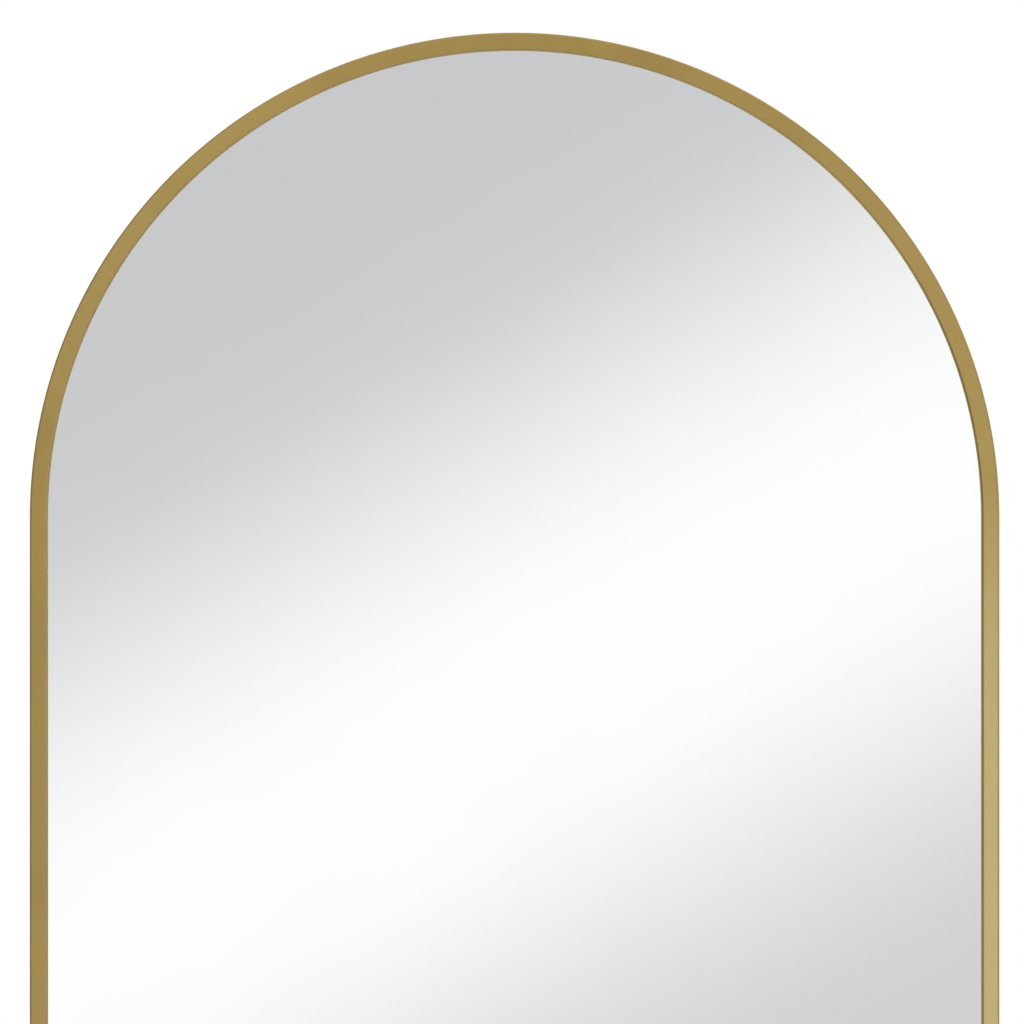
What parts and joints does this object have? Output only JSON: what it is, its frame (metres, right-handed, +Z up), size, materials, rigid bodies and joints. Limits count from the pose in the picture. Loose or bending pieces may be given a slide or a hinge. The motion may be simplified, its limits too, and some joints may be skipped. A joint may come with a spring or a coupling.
{
  "type": "arched wall mirror",
  "caption": "Wall mirror with a half-round top in a slim gold aluminium frame, hung by swinging D-rings on the rear channel.",
  "frame": {"origin": "on the wall plane, midway between the two points where wall hooks bear in the swung-up rings", "axes": "+Z up, +Y from the viewer into the wall, +X to the viewer's right; the glass faces -Y"},
  "size_m": [0.61, 0.031, 0.9139],
  "materials": {
    "gold_anodised": "satin gold anodised aluminium extrusion",
    "mirror_glass": "silvered float glass with a polished edge",
    "foam_seal": "matt white closed-cell strip",
    "safety_film": "grey-blue backing film on the silvering",
    "corrugated_board": "brown corrugated board",
    "hardboard": "brown hardboard, smooth face out",
    "spring_steel": "blued spring steel strip",
    "plated_key_steel": "zinc-plated pressed steel",
    "dark_steel": "black oxide screws",
    "zinc_steel": "bright zinc-plated steel",
    "bumper_rubber": "matt black rubber"
  },
  "bodies": {
    "mirror": {"arch_rail": "gold_anodised", "bottom_rail": "gold_anodised", "glazing_seal": "foam_seal", "mirror_glass": "mirror_glass", "safety_film": "safety_film", "filler_sheet": "corrugated_board", "back_board": "hardboard", "corner_set_screws": "dark_steel", "hanger_screws": "zinc_steel", "wall_bumpers": "bumper_rubber", "spring_clip_left_1": "spring_steel", "spring_clip_right_1": "spring_steel", "spring_clip_left_2": "spring_steel", "spring_clip_right_2": "spring_steel", "spring_clip_bottom_1": "spring_steel", "spring_clip_bottom_2": "spring_steel", "spring_clip_bottom_3": "spring_steel", "spring_clip_top_1": "spring_steel", "spring_clip_top_2": "spring_steel", "spring_clip_top_3": "spring_steel", "corner_key_left": "plated_key_steel", "corner_key_right": "plated_key_steel", "corner_shim_left": "plated_key_steel", "corner_shim_right": "plated_key_steel", "hanger_nut_left": "zinc_steel", "hanger_nut_right": "zinc_steel", "hanger_strap_left": "zinc_steel", "hanger_strap_right": "zinc_steel"},
    "ring_left": {"d_ring_left": "zinc_steel"},
    "ring_right": {"d_ring_right": "zinc_steel"}
  },
  "joints": [
    {"name": "ring_left_swing", "type": "hinge", "parent": "mirror", "child": "ring_left", "pos_m": [-0.294, -0.0034, -0.0125], "axis": [1, 0, 0], "range_deg": [0, 178]},
    {"name": "ring_right_swing", "type": "hinge", "parent": "mirror", "child": "ring_right", "pos_m": [0.294, -0.0034, -0.0125], "axis": [1, 0, 0], "range_deg": [0, 178]}
  ]
}
